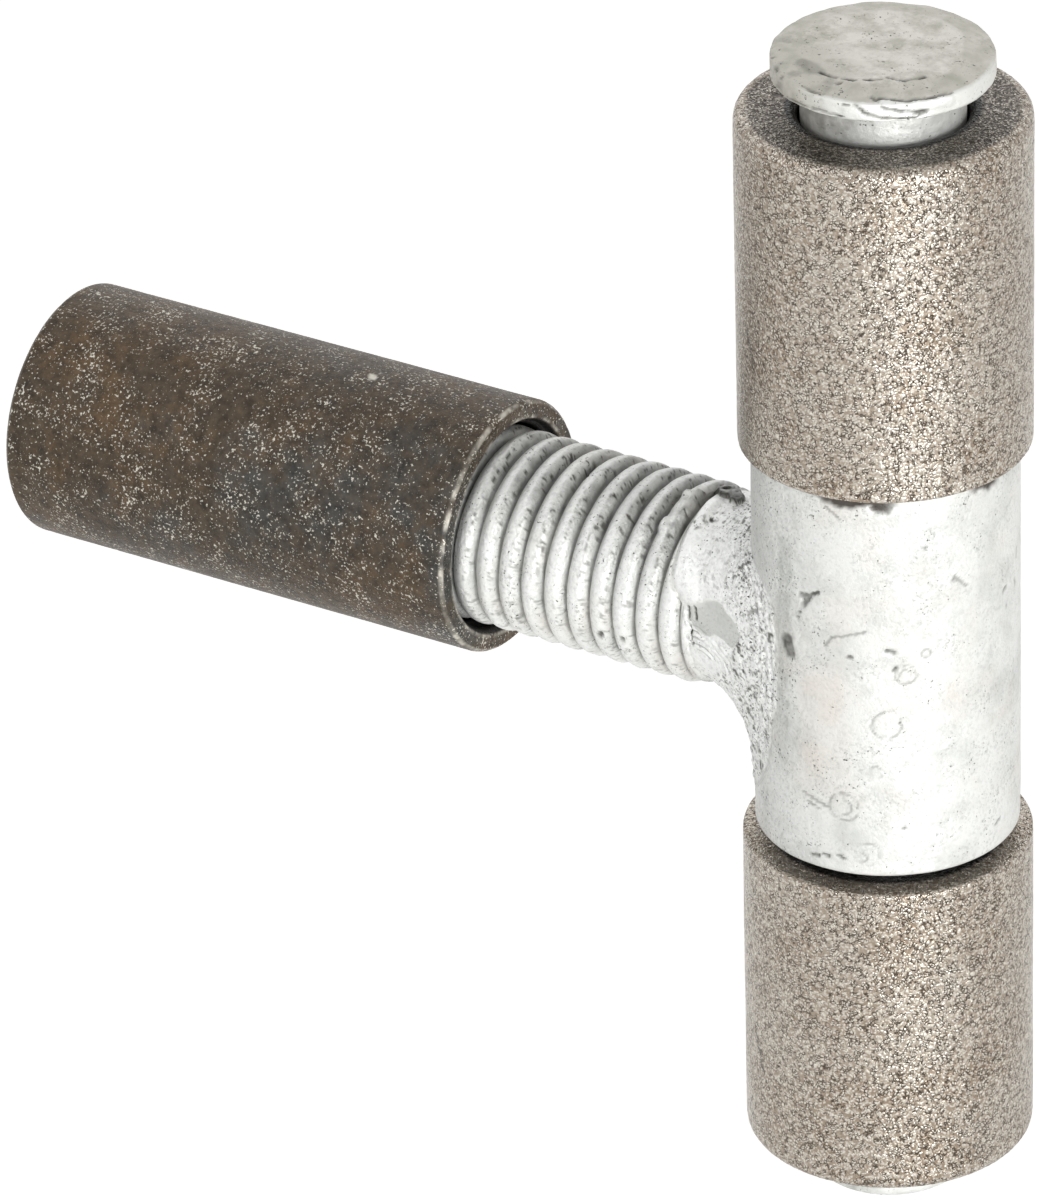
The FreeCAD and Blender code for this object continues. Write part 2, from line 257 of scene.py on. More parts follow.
def capped(points, faces, paints, columns):
    """The same piece with each open end closed by a point at its middle, which is left unpainted."""
    count = len(points)
    ends = np.array((points[:columns].mean(axis=0), points[-columns:].mean(axis=0)))
    for column in range(columns):
        beside = (column + 1) % columns
        faces.append([count, beside, column])
        faces.append([count + 1, count - columns + column, count - columns + beside])
    return np.vstack((points, ends)), faces, {name: np.append(values, (0, 0)) for name, values in paints.items()}


def add_piece(name, points, faces, paints, finish, body, node):
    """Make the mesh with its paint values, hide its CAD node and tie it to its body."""
    mesh = bpy.data.meshes.new(name)
    mesh.from_pydata((points * MM).tolist(), [], faces)
    mesh.polygons.foreach_set("use_smooth", np.ones(len(mesh.polygons), dtype=bool))
    for paint, values in paints.items():
        layer = mesh.attributes.new(paint, "FLOAT", "POINT")
        layer.data.foreach_set("value", np.clip(values, 0, 1).astype(np.float32))
    mesh.materials.append(finish)
    mesh.update()
    piece = bpy.data.objects.new(name, mesh)
    bpy.context.scene.collection.objects.link(piece)
    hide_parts(node)
    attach(piece, body)


def box_of(node):
    """A CAD node's lowest and highest corners, in millimetres."""
    low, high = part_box(node)
    return np.array(low) / MM, np.array(high) / MM


def upright(node):
    """The bottom, top and radius of a CAD node that is turned about the pin, and x of its axis."""
    low, high = box_of(node)
    return low[2], high[2], (high[0] - low[0]) / 2, (high[0] + low[0]) / 2


def about_pin(points, axis_x):
    """Each point's distance from the pin's axis, and its turn about it in radians."""
    return np.hypot(points[:, 0] - axis_x, points[:, 1]), np.arctan2(points[:, 1], points[:, 0] - axis_x)


def about_stud(points):
    """Each point's distance from the stud's axis, its turn about it in radians, and its turns of thread.

    The turns of the left-handed thread are whole along the bottom of the stud's valley.
    """
    turn = np.arctan2(points[:, 2], points[:, 1])
    phase = (points[:, 0] - THREAD_START) / THREAD_PITCH + (turn - math.pi / 2) / (2 * math.pi)
    return np.hypot(points[:, 1], points[:, 2]), turn, phase


def add_node(tree, kind, inputs=(), out=0, **settings):
    """Add one shader node, set or link its inputs by order or by name, and give back one of its outputs."""
    item = tree.nodes.new("ShaderNode" + kind)
    for name, value in settings.items():
        setattr(item, name, value)
    for key, value in inputs.items() if isinstance(inputs, dict) else enumerate(inputs):
        if isinstance(value, bpy.types.NodeSocket):
            tree.links.new(value, item.inputs[key])
        else:
            item.inputs[key].default_value = value
    return item.outputs[out] if item.outputs else None


def new_finish(name, paints, noises):
    """Start a material: itself, its node maker, the place in millimetres, its paint values and its noises.

    Each noise is given as (size in millimetres, detail, roughness).
    """
    finish = bpy.data.materials.new(name)
    finish.use_nodes = True
    finish.node_tree.nodes.clear()
    node = functools.partial(add_node, finish.node_tree)
    place = node("VectorMath", {0: node("TexCoord", out="Object"), "Scale": 1 / MM}, operation="SCALE")
    paints = [node("Attribute", out="Fac", attribute_name=paint) for paint in paints]
    noises = [node("TexNoise", {"Vector": place, "Scale": 1 / size, "Detail": detail, "Roughness": roughness})
              for size, detail, roughness in noises]
    return finish, node, place, paints, noises


def end_finish(finish, node, base, layers, metallic, roughness, height, depth):
    """Lay colours over the base by their shares, bump the surface by a depth in millimetres and end the tree."""
    for share, tint in layers:
        base = node("Mix", {0: share, 6: base, 7: tint}, out=2, data_type="RGBA")
    bump = node("Bump", {"Strength": 1.0, "Distance": depth * MM, "Height": height})
    shader = node("BsdfPrincipled", {
        "Base Color": base, "Metallic": metallic, "Roughness": roughness, "Normal": bump,
    })
    node("OutputMaterial", {"Surface": shader})
    return finish


def shot_blasted_cast_steel(colours):
    """Bare cast steel: low rounded grains that glint, thin broken joints painted dark as shade, and rusty tints."""
    # The joints break off every 0.7 mm. Sand grain of 0.35 mm is the finest that the render resolves. The
    # oxide left by casting tints patches of 9 mm.
    finish, node, place, (dirt, gap), (broken, sand, tint) = new_finish(
        "bare_cast_steel", ("dirt", "gap"), ((0.7, 1, 0.5), (0.35, 2, 0.55), (9, 4, 0.6)))
    # Grains as the moulding sand leaves them, pushed out of line by a soft noise.
    grain = 0.38
    sway = node("TexNoise", {"Vector": place, "Scale": 1.0, "Detail": 2.0}, out="Color")
    sway = node("VectorMath", {0: sway, "Scale": 1.2}, operation="SCALE")
    bent = node("VectorMath", (place, sway), operation="ADD")
    dome = node("TexVoronoi", {"Vector": bent, "Scale": 1 / grain, "Smoothness": 0.4}, feature="SMOOTH_F1")
    dome = node("MapRange", (dome, 0.8, 0.0))
    # Joints between the grains, lowered and painted dark as shade in the creases.
    joint = node("TexVoronoi", {"Vector": bent, "Scale": 1 / grain}, feature="DISTANCE_TO_EDGE")
    joint = node("MapRange", (joint, 0.13, 0.0), interpolation_type="SMOOTHSTEP")
    broken = node("MapRange", (broken, 0.46, 0.56))
    joint = node("Math", (joint, broken), operation="MULTIPLY")
    dome = node("Math", (dome, 0.6), operation="MULTIPLY")
    height = node("Math", (sand, 0.6, dome), operation="MULTIPLY_ADD")
    height = node("Math", (joint, -0.8, height), operation="MULTIPLY_ADD")
    # The tops are rubbed bright, and keep less of the painted dirt and shade than the joints.
    tint = node("MapRange", (tint, 0.42, 0.68))
    worn = node("MapRange", (height, 0.4, 0.8))
    joint = node("Math", (joint, 0.9), operation="MULTIPLY")
    kept = node("Math", (worn, -0.7, 1.0), operation="MULTIPLY_ADD")
    held = node("Math", (dirt, kept), operation="MULTIPLY")
    deep = node("Math", (joint, held), operation="MAXIMUM")
    layers = ((tint, colours.cast_brown), (worn, colours.cast_bright), (deep, colours.cast_shade_and_dirt),
              (gap, colours.painted_gap_shade))
    return end_finish(finish, node, colours.cast_grey, layers, 0.85, 0.26, height, 0.12)


def mill_scale_steel(colours):
    """Rolled tube with its mill scale: dark blue-brown oxide, dusty, with bare flecks of steel."""
    # Rusty patches of 11 mm and blue-grey ones of 25 mm, both broken up by mottling of 1.5 mm. Flecks of
    # 0.3 mm in loose groups of 5 mm and a few of 0.6 mm, where the scale has flaked off. Dust of 0.45 mm.
    finish, node, _, (wear, dirt), (patch, blue, mottle, fleck, group, large, fine) = new_finish(
        "mill_scale_steel", ("wear", "dirt"),
        ((11, 6, 0.68), (25, 6, 0.7), (1.5, 4, 0.7), (0.33, 2, 0.6), (5, 4, 0.65), (0.6, 3, 0.6), (0.45, 4, 0.7)))
    patch = node("MapRange", (patch, 0.42, 0.66))
    blue = node("MapRange", (blue, 0.5, 0.64))
    mid = colours.scale_dark
    for share, tint in ((patch, colours.scale_brown), (blue, colours.scale_blue)):
        mid = node("Mix", {0: share, 6: mid, 7: tint}, out=2, data_type="RGBA")
    shade = node("MapRange", (mottle, 0.3, 0.7, 0.4, 1.6))
    mid = node("VectorMath", {0: mid, "Scale": shade}, operation="SCALE")
    edge = node("Math", (group, -0.4, 0.81), operation="MULTIPLY_ADD")
    edge_high = node("Math", (edge, 0.08), operation="ADD")
    fleck = node("MapRange", (fleck, edge, edge_high))
    large = node("MapRange", (large, 0.68, 0.74))
    fleck = node("Math", (fleck, large), operation="MAXIMUM")
    fleck = node("Math", (fleck, wear), operation="MAXIMUM")
    gloss = node("MapRange", (fine, 0.3, 0.7, 0.36, 0.62))
    # Black painted shade in the mouth of the bore.
    layers = ((fleck, colours.scale_fleck), (dirt, colours.painted_gap_shade))
    return end_finish(finish, node, mid, layers, 0.5, gloss, fine, 0.11)


def galvanised_steel(colours):
    """Hot-dip galvanised steel: pale pebbled zinc with grey and warm clouds, ash specks and pits."""
    # Grey clouds of 6 mm and warm ones of 9 mm, where the zinc set slowly. Pebbles of 0.5 mm. Specks of ash
    # of 0.3 mm in loose groups of 4 mm.
    finish, node, _, paints, (cloud, warm, pebble, group, speck) = new_finish(
        "hot_dip_galvanised_steel", ("dirt", "grey", "pale", "coarse", "crust", "rusty"),
        ((6, 6, 0.65), (9, 5, 0.65), (0.5, 3, 0.62), (4, 4, 0.65), (0.32, 2, 0.55)))
    dirt, grey, pale, coarse, crust, rusty = paints
    cloud = node("MapRange", (cloud, 0.45, 0.75, 0, 0.7))
    cloud = node("Math", (cloud, grey), operation="MAXIMUM")
    warm = node("MapRange", (warm, 0.5, 0.68, 0, 0.35))
    warm = node("Math", (warm, rusty), operation="MAXIMUM")
    # Greyer between the pebbles, in patches and where the zinc is coarse.
    patchy = node("MapRange", (group, 0.4, 0.65, 0.15, 0.7))
    patchy = node("Math", (patchy, coarse), operation="MAXIMUM")
    low = node("MapRange", (pebble, 0.5, 0.32, 0, 0.85))
    low = node("Math", (low, patchy), operation="MULTIPLY")
    # Many more specks where the zinc is coarse, and higher pebbles.
    edge = node("Math", (group, -0.4, 0.885), operation="MULTIPLY_ADD")
    edge = node("Math", (coarse, -0.085, edge), operation="MULTIPLY_ADD")
    edge_high = node("Math", (edge, 0.09), operation="ADD")
    speck = node("MapRange", (speck, edge, edge_high))
    deep = node("Math", (speck, dirt), operation="MAXIMUM")
    lift = node("Math", (coarse, 1.6, 1.0), operation="MULTIPLY_ADD")
    height = node("Math", (pebble, lift), operation="MULTIPLY")
    height = node("Math", (speck, -0.5, height), operation="MULTIPLY_ADD")
    gloss = node("MapRange", (pebble, 0.3, 0.7, 0.6, 0.4))
    # Fresh zinc, and the stud's crests painted pale as a highlight, shine more than the weathered coat.
    metal = node("MapRange", (pale, 0, 1, 0.3, 0.6))
    layers = ((cloud, colours.zinc_grey), (warm, colours.zinc_warm), (pale, colours.zinc_white),
              (low, colours.zinc_low), (deep, colours.zinc_speck), (crust, colours.cast_shade_and_dirt))
    return end_finish(finish, node, colours.zinc_pale, layers, metal, gloss, height, 0.11)


def dull_zinc_steel(colours):
    """Forged pin dipped in zinc and handled: greenish grey, smudged and pitted, bright where it ran and where a
    highlight is painted.
    """
    # Smudges of 4 mm, pits of 0.35 mm in groups of 2.5 mm, and a pebbling of 0.7 mm.
    finish, node, _, (dirt, grey, bright), (cloud, speck, group, pebble) = new_finish(
        "dull_zinc_steel", ("dirt", "grey", "wear"), ((4, 7, 0.72), (0.36, 3, 0.6), (2.5, 3, 0.6), (0.7, 5, 0.65)))
    cloud = node("MapRange", (cloud, 0.42, 0.62, 0, 0.7))
    cloud = node("Math", (cloud, grey), operation="MAXIMUM")
    edge = node("Math", (group, -0.5, 0.9), operation="MULTIPLY_ADD")
    edge_high = node("Math", (edge, 0.1), operation="ADD")
    speck = node("MapRange", (speck, edge, edge_high))
    deep = node("Math", (speck, dirt), operation="MAXIMUM")
    height = node("Math", (speck, -0.4, pebble), operation="MULTIPLY_ADD")
    gloss = node("MapRange", (pebble, 0.3, 0.7, 0.66, 0.48))
    layers = ((cloud, colours.pin_smudge), (bright, colours.zinc_pale), (deep, colours.zinc_speck))
    return end_finish(finish, node, colours.pin_grey, layers, 0.6, gloss, height, 0.09)


def length(name, description, millimetres):
    """A length property, shown in the scene's units."""
    return FloatProperty(name=name, description=description, default=millimetres * MM, min=0.0, precision=5,
                         unit="LENGTH", subtype="DISTANCE")


def colour(name, description, hex_colour):
    """A colour property, given as sRGB hex."""
    return FloatVectorProperty(name=name, description=description, default=linear(hex_colour), size=4,
                               min=0.0, max=1.0, subtype="COLOR")


class HingeSizes(bpy.types.PropertyGroup):
    """Sizes of the surfaces, which leave the solids' own sizes alone."""

    cast_grain: length("Cast grain", "Width of one grain of the cast barrels", 0.6)
    cast_depth: length("Cast grain depth", "Depth of the joints between the grains", 0.05)
    scale_depth: length("Scale depth", "Depth of the flaking on the post sleeve", 0.03)
    zinc_depth: length("Zinc depth", "Height of the runs in the zinc", 0.05)
    thread_depth: length("Thread depth", "Depth of the stud's thread under its zinc", 1.35)
    weld_ripple: length("Weld ripple", "Height of the ripples on the weld", 0.22)


class HingeColours(bpy.types.PropertyGroup):
    """Colours of the finishes."""

    cast_grey: colour("Cast grey", "Most of the cast barrels", "#A2978A")
    cast_brown: colour("Cast brown", "Oxide tint on the cast barrels", "#8F7F6E")
    cast_bright: colour("Cast bright", "Rubbed tops of the grains", "#D6D1C7")
    # Painted shade in the grains' joints and on the end faces, and dark dirt and crust.
    cast_shade_and_dirt: colour("Cast joints", "Joints between the grains", "#32291F")
    scale_dark: colour("Scale dark", "Most of the post sleeve", "#493E31")
    scale_brown: colour("Scale brown", "Rusty patches on the post sleeve", "#58452F")
    scale_blue: colour("Scale blue", "Blue-grey patches on the post sleeve", "#403F3C")
    scale_fleck: colour("Scale flecks", "Bare flecks of steel on the post sleeve", "#DAD5C9")
    # Painted shade, black, in the gaps and bores.
    painted_gap_shade: colour("Gap", "Dirt in gaps and bores", "#161310")
    zinc_pale: colour("Zinc", "Most of the galvanised pieces", "#EBECE9")
    zinc_low: colour("Zinc hollows", "Hollows between the zinc's pebbles", "#A4A6A2")
    # Also a painted highlight on the stud's crests.
    zinc_white: colour("Zinc white", "Thick fresh zinc beside the weld", "#F6F7F5")
    zinc_grey: colour("Zinc clouds", "Greyer clouds in the zinc", "#BDBFBB")
    zinc_warm: colour("Zinc warm", "Warmer clouds in the zinc", "#E3D9CF")
    zinc_speck: colour("Zinc specks", "Specks and pits in the zinc", "#3F3E39")
    pin_grey: colour("Pin grey", "Most of the pin's head", "#DEDBD4")
    pin_smudge: colour("Pin smudges", "Darker smudges on the pin's head", "#A6A598")


class HINGE_OT_gate_barrels(bpy.types.Operator):
    """Cast the two barrels that are welded to the gate"""

    bl_idname = "hinge.gate_barrels"
    bl_label = "Gate barrels"

    def execute(self, context):
        finish = shot_blasted_cast_steel(context.scene.hinge_colours)
        for body, seed in (("upper", 11), ("lower", 47)):
            self.cast(body, seed, context.scene.hinge_sizes, finish)
        return {"FINISHED"}

    def cast(self, body, seed, sizes, finish):
        """One barrel, more rounded at its far end; the lower one's top is painted black as shade under the centre
        barrel.
        """
        upper = body == "upper"
        node = body + "_barrel"
        bottom, top, radius, axis_x = upright(node)
        low_round, high_round = (0.5, 1.5) if upper else (1.5, 0.5)
        dark_face_fades_at, dark_face_gone_at = (15.3, 16.4) if upper else (14.0, 14.5)
        fine, bevel = 0.28, 0.8
        points, normals, faces = turned((
            (bottom, radius, low_round, fine), (top, radius, high_round, fine),
            (top, GATE_BORE + bevel, 0.2, fine), (top - bevel, GATE_BORE, 0.2, 3.5),
            (bottom + bevel, GATE_BORE, 0.2, fine), (bottom, GATE_BORE + bevel, 0.2, fine),
        ), 368, True, "Z", axis_x)
        out, _ = about_pin(points, axis_x)
        bent = points + 0.22 * np.stack([lumps(points, 0.9, seed + 20 + axis) for axis in range(3)], axis=1)
        first, second, number = grains(bent, sizes.cast_grain / MM, seed)
        dome = np.clip(1 - (first / 0.72) ** 2, 0, 1)
        joint = ease(0.0, 0.3, second - first)
        relief = (0.35 + 0.65 * joint) * (0.45 + 0.55 * dome) * (0.75 + 0.25 * number)
        relief = relief / relief.max()
        swell = rough(points, 7.0, seed + 30)
        exposed = ease(GATE_BORE + 0.5, GATE_BORE + 2.0, out)
        sink = exposed * (sizes.cast_depth / MM * (1 - relief) + 0.08 * (1 - swell) / 2)
        points = points - normals * sink[:, None]
        # Painted shade: black round the pin in the bore, and on the lower barrel's top under the centre barrel.
        # The end faces are painted dark inside their rims, as dirt and painted shade; a few dark scabs are dirt.
        bore_black, top_black = GATE_BORE + 1.5, 13.9
        under = 0 if upper else ease(0, 1, points[:, 2] - top + 2)
        black_to = bore_black + under * (top_black - GATE_BORE - 1.5)
        gap = 1 - ease(-0.15, 0.15, out - black_to + 0.1 * rough(points, 1.5, seed + 40))
        wander = (dark_face_gone_at - dark_face_fades_at) * 0.4 * rough(points, 3.0, seed + 50)
        end_face = 1 - ease(dark_face_fades_at, dark_face_gone_at, out + wander)
        end_face *= ease(0.5, 0.9, np.abs(normals[:, 2]))
        end_face *= 1.05 + 0.25 * rough(points, 1.2, seed + 60) - 0.2 * relief
        scabs = marks(points, (
            (0.5, ((-127, top - 24.9), (-123, top - 26.9), (-121, top - 29.2))),
            (0.35, ((-70, bottom + 1.2), (-66, bottom + 1.6))),
        ), seed, functools.partial(round_pin, axis_x=axis_x, radius=radius))
        paints = {"dirt": np.maximum(end_face, 0.8 * scabs), "gap": gap}
        add_piece(node + "_cast", points, faces, paints, finish, body, node)


class HINGE_OT_post_sleeve(bpy.types.Operator):
    """Turn the threaded sleeve that is welded into the post"""

    bl_idname = "hinge.post_sleeve"
    bl_label = "Post sleeve"

    def execute(self, context):
        sizes = context.scene.hinge_sizes
        finish = mill_scale_steel(context.scene.hinge_colours)
        low, high = box_of("post_sleeve")
        rear, front = low[0], high[0]
        radius = (high[2] - low[2]) / 2
        fine, bevel, mouth = 0.34, 0.5, 1.0
        # How far in from the mouths the bore's thread is cut finely.
        seen = 9
        points, normals, faces = turned((
            (rear, radius - bevel, 0.15, fine), (rear + bevel, radius, 0.3, fine),
            (front - bevel, radius, 0.3, fine), (front, radius - bevel, 0.15, fine),
            (front, SLEEVE_BORE + mouth, 0.1, 0.25), (front - mouth, SLEEVE_BORE, 0.1, 0.3),
            (front - seen, SLEEVE_BORE, 0.0, 4.0), (rear + seen, SLEEVE_BORE, 0.0, 0.3),
            (rear + mouth, SLEEVE_BORE, 0.1, 0.25), (rear, SLEEVE_BORE + mouth, 0.1, fine),
        ), 256, True, "X")
        out, _, phase = about_stud(points)
        outside = ease(SLEEVE_BORE + 0.6, SLEEVE_BORE + 1.2, out)
        flaked = ease(0.1, 0.5, rough(points, 1.6, 61)) * 0.6 + 0.6 * (rough(points, 0.8, 71) + 1) / 2
        sink = outside * sizes.scale_depth / MM * (flaked + (1 - rough(points, 12.0, 81)))
        # The sleeve's own thread, cut outwards from the bore.
        groove = 0.5 + 0.5 * np.cos(2 * math.pi * phase)
        bore = 1 - ease(SLEEVE_BORE + 0.05, SLEEVE_BORE + 0.8, out)
        points = points - normals * (sink + 0.8 * groove * bore)[:, None]
        # Scale rubbed off the edges of both mouths, round the turned face and in one spot on top.
        outer = np.hypot(points[:, 0] - front + 0.2, out - radius + 0.2)
        inner = np.hypot(points[:, 0] - front, out - SLEEVE_BORE - mouth)
        behind = np.hypot(points[:, 0] - rear - 0.2, out - radius + 0.2)
        face = ease(front - 0.4, front - 0.2, points[:, 0]) * ease(0.2, 0.9, np.cos(2 * math.pi * out / 0.7))
        rubbed = most(1 - ease(0.15, 0.5, outer), 1 - ease(0.1, 0.45, inner),
                      0.5 * face, 0.5 * (1 - ease(0.1, 0.5, behind)))
        rubbed *= ease(-0.5, 0.5, rough(points, 1.6, 91)) * (0.6 + 0.4 * lumps(points, 0.4, 95))
        rubbed = np.maximum(rubbed, mark(points, round_stud(((12.3, 91), (12.6, 92)), radius), 0.7, 97))
        # The mouth of the bore is painted black as shade in the gap round the stud; the rubbed scale is wear.
        paints = {"wear": rubbed * 0.95, "dirt": 1 - ease(SLEEVE_BORE + 0.7, SLEEVE_BORE + 0.95, out)}
        add_piece("post_sleeve_scaled", points, faces, paints, finish, "post_side", "post_sleeve")
        return {"FINISHED"}


class HINGE_OT_adjusting_stud(bpy.types.Operator):
    """Cut the coarse thread of the stud and coat it with zinc"""

    bl_idname = "hinge.adjusting_stud"
    bl_label = "Adjusting stud"

    # Nicks by width, places and distance from the stud's axis.
    NICKS = (
        (0.55, ((42.9, 88), (43.2, 103)), 11.9), (0.45, ((42.9, 137), (43.0, 145)), 11.6),
        (0.5, ((50.1, 201), (50.3, 198)), 11.9), (0.4, ((53.3, 197), (53.3, 199)), 11.9),
    )

    def execute(self, context):
        sizes = context.scene.hinge_sizes
        finish = galvanised_steel(context.scene.hinge_colours)
        rear = box_of("adjusting_stud")[0][0]
        # The threaded part that shows ends in the neck under the weld, and a core goes on into the barrel.
        columns, fine, core, neck_radius = 288, 0.27, STUD_RADIUS - 2.2, 10.5
        points, normals, faces = turned((
            (rear, 0.4, 0, 2.0), (rear, STUD_RADIUS - 1.8, 0.3, fine), (rear + 1.8, STUD_RADIUS, 0.3, 0.5),
            (12, STUD_RADIUS, 0, fine), (62.6, STUD_RADIUS, 0, 0.5), (63.0, core, 0, 2.0),
            (67.0, core, 0, 2.0), (67.0, 0.4, 0, 2.0),
        ), columns, False, "X")
        out, turn, phase = about_stud(points)
        beside = phase - np.round(phase)
        flank = np.clip((THREAD_PITCH / 2 - np.abs(beside) * THREAD_PITCH) / 1.45, 0, 1)
        crest = (1 - flank ** 2.2) ** 0.65
        sink = sizes.thread_depth / MM * (1 - crest)
        wall = ease(core, STUD_RADIUS - 0.6, out)
        neck = ease(0.1, 0.5, points[:, 0] - round_about(np.degrees(turn) % 360, START_TURN, START_X))
        sink = np.where(neck > 0, np.maximum(sink, (STUD_RADIUS - neck_radius) * neck), sink) * wall
        coat = sizes.zinc_depth / MM * (1 - rough(points, 1.3, 101) - 0.5 * rough(points, 0.6, 103, 2))
        # Spatter on the last crest, below the weld's lip, and the nicks.
        lump = mark(points, round_stud(((57.1, 92), (57.1, 106), (56.8, 122)), 11.9), 1.4, 105)
        nick = marks(points, [(width, round_stud(places, radius)) for width, places, radius in self.NICKS], 110)
        sink = sink * (1 - lump) - lump * (0.2 + 0.5 * lumps(points, 0.9, 107))
        points = points - normals * ((sink + coat + 0.3 * nick) * wall)[:, None]
        # Darker in the valleys, more on top, and fine dark dots along the flanks that face the hinge.
        top = ease(0.1, 0.95, np.sin(turn))
        valley = (1 - ease(0.05, 0.52 + 0.18 * top, crest)) * (1 - lump) * (0.8 + 0.35 * rough(points, 1.8, 121))
        facing = band(-0.46, -0.3, -0.12, -0.04, beside)
        dots = facing * ease(0.25, 0.5, rough(points, 0.5, 123, 2)) * (0.5 + 0.5 * top)
        # Painted shade on the flanks that face the hinge, on top.
        flank_shade = facing * top * (0.4 + 0.4 * rough(points * np.array((1, 0.5, 0.5)), 0.7, 127))
        # A little darker inside the sleeve, as grease and painted shade.
        in_sleeve = 1 - ease(30.2, 30.7, points[:, 0] + 0.15 * lumps(points, 1.5, 129))
        # Grey: the valleys, the spatter and painted shade on the upper flanks. Pale: a painted highlight on the
        # crests, less on top.
        paints = {
            "dirt": most(valley * (0.5 + 0.5 * top), dots, flank_shade, 0.9 * nick, 0.12 * in_sleeve),
            "grey": most(valley, top * ease(0.2, 0.9, flank), 0.5 * lump),
            "pale": ease(0.6, 1, crest) * (0.8 - 0.45 * top) * (0.8 + 0.3 * rough(points, 1.5, 119)),
            "coarse": np.full(len(points), 0.3),
        }
        points, faces, paints = capped(points, faces, paints, columns)
        add_piece("adjusting_stud_zinc", points, faces, paints, finish, "eye", "adjusting_stud")
        return {"FINISHED"}


class HINGE_OT_stud_weld(bpy.types.Operator):
    """Run the weld between the stud and the centre barrel"""

    bl_idname = "hinge.stud_weld"
    bl_label = "Stud weld"

    # Slag left in streaks and pits near the thread, and patches of ash, by width and places.
    SLAG = (
        (0.22, ((62.3, -11.0, 3.1), (62.2, -11.0, 1.4))), (0.2, ((63.3, -11.2, 3.4), (63.3, -11.2, 1.6))),
        (0.5, ((62.2, -10.9, 0.3), (62.3, -10.85, -0.5))), (0.4, ((62.1, -10.8, -1.0), (62.4, -10.7, -1.9))),
    )
    ASHES = ((1.1, ((60.0, -5.3, 10.3), (61.8, -3.4, 11.1))), (1.3, ((69.5, -10.0, 10.6), (70.0, -10.8, 9.4))))
    BLOW_HOLE = (60.2, 1.5, 11.4)
    RIPPLES_MIDDLE = (63.3, -10.2, -4.8)

    def execute(self, context):
        finish = galvanised_steel(context.scene.hinge_colours)
        columns, rows = 480, 90
        grid, share = self.surface(columns, rows)
        points = grid.reshape(-1, 3)
        normals = self.normals(grid)
        shares = np.repeat(np.append(share, np.zeros(len(grid) - rows)), columns)
        turns = np.tile(np.arange(columns) * 360 / columns, len(grid))
        shown = ease(0, 0.06, shares) * (1 - ease(0.95, 1, shares))
        # A smooth lip beside the thread and a grey patch keep calm; the rest is coarse, most at the toe.
        patch = mark(points, ((64.6, -11.3, 2.4), (66.3, -11.6, 2.8), (67.9, -11.9, 2.0)), 2.6, 133)
        patch = ease(0.2, 0.5, patch)
        lip = band(84, 100, 154, 168, turns) * (1 - ease(0.14, 0.26, shares))
        calm = np.maximum(patch, lip)
        coarse = ease(0.1, 0.7, shares + 0.25 * lumps(points, 3.0, 135) + 0.25 * ease(2, 10, -points[:, 2]))
        coarse = np.maximum(coarse, 0.35) * shown * (1 - calm)
        runs = ease(0.62, 0.8, shares) * np.cos(2 * math.pi * (shares - 0.8) / 0.075 + 1.5 * lumps(points, 2.0, 137))
        from_ripples = np.linalg.norm(points - np.array(self.RIPPLES_MIDDLE), axis=1) + 0.3 * lumps(points, 1.8, 138)
        rippled = band(1.6, 2.6, 4.8, 6.2, from_ripples) * ease(-4.5, -2.5, points[:, 2])
        crease = np.cos(2 * math.pi * from_ripples / 0.85)
        ripple = context.scene.hinge_sizes.weld_ripple / MM
        lift = shown * (1 - 0.8 * calm) * ripple * 0.6 * rough(points, 2.6, 131)
        lift += coarse * ripple * (0.7 * rough(points, 0.8, 141, 2) + 0.3 * runs)
        lift += shown * ripple * 0.4 * rippled * crease
        lift += 0.6 * lip * ease(0, 0.08, shares)
        # The dark scab with its blow hole on top.
        scab = np.maximum(mark(points, ((59.3, 2.1, 11.2), (60.3, 1.5, 11.4), (61.2, 0.8, 11.6)), 1.3, 143),
                          mark(points, ((61.1, 0.8, 11.6), (62.7, -0.2, 11.85)), 0.95, 144))
        from_hole = np.linalg.norm(points - np.array(self.BLOW_HOLE), axis=1)
        hole = 1 - ease(0.2, 0.6, from_hole)
        slag = marks(points, self.SLAG, 149)
        lift += 0.8 * ease(0.1, 0.6, scab) - 0.9 * hole - 0.35 * slag
        points = points + normals * lift[:, None]
        ash = ease(0.25, 0.5, -rough(points, 0.5, 153, 2)) * coarse * ease(-0.5, 0.3, lumps(points, 2.4, 157))
        ashes = marks(points, self.ASHES, 159) * ease(0.1, 0.4, rough(points, 0.45, 161, 2))
        scorched = most(ease(0.08, 0.35, scab) * (0.8 + 0.3 * rough(points, 0.5, 163, 2)),
                        band(0.03, 0.25, 0.45, 0.8, scab) * (1.0 + 0.2 * lumps(points, 0.7, 165)),
                        (1 - ease(0.6, 0.85, from_hole)) * ease(0.05, 0.25, from_hole))
        # Painted shade along the toe, where the weld meets the barrel.
        toe = ease(0.96, 1, shares)
        dirt = most(0.85 * ash, ashes, scorched, slag, 0.5 * toe * (0.6 + 0.5 * rough(points, 0.9, 171)))
        valleys = rippled * ease(0.5, 0.95, -crease) * ease(-0.5, 0.2, lumps(points, 1.2, 169))
        dirt = np.maximum(np.clip(dirt, 0, 1), 0.5 * valleys)
        grey = np.maximum(0.8 * patch, 0.3 * ease(0.1, 0.6, rough(points, 2.0, 151)) * (1 - lip))
        pale = np.maximum(lip, (0.85 + 0.2 * rough(points, 1.2, 167)) * (1 - 0.8 * patch))
        pale = pale * (1 - 0.6 * ease(0.9, 1, shares)) * (1 - dirt)
        paints = {"dirt": dirt, "grey": grey, "pale": pale, "coarse": coarse}
        faces = grid_faces(len(grid), columns, True)
        add_piece("stud_weld_bead", points, faces, paints, finish, "eye", "stud_weld")
        return {"FINISHED"}

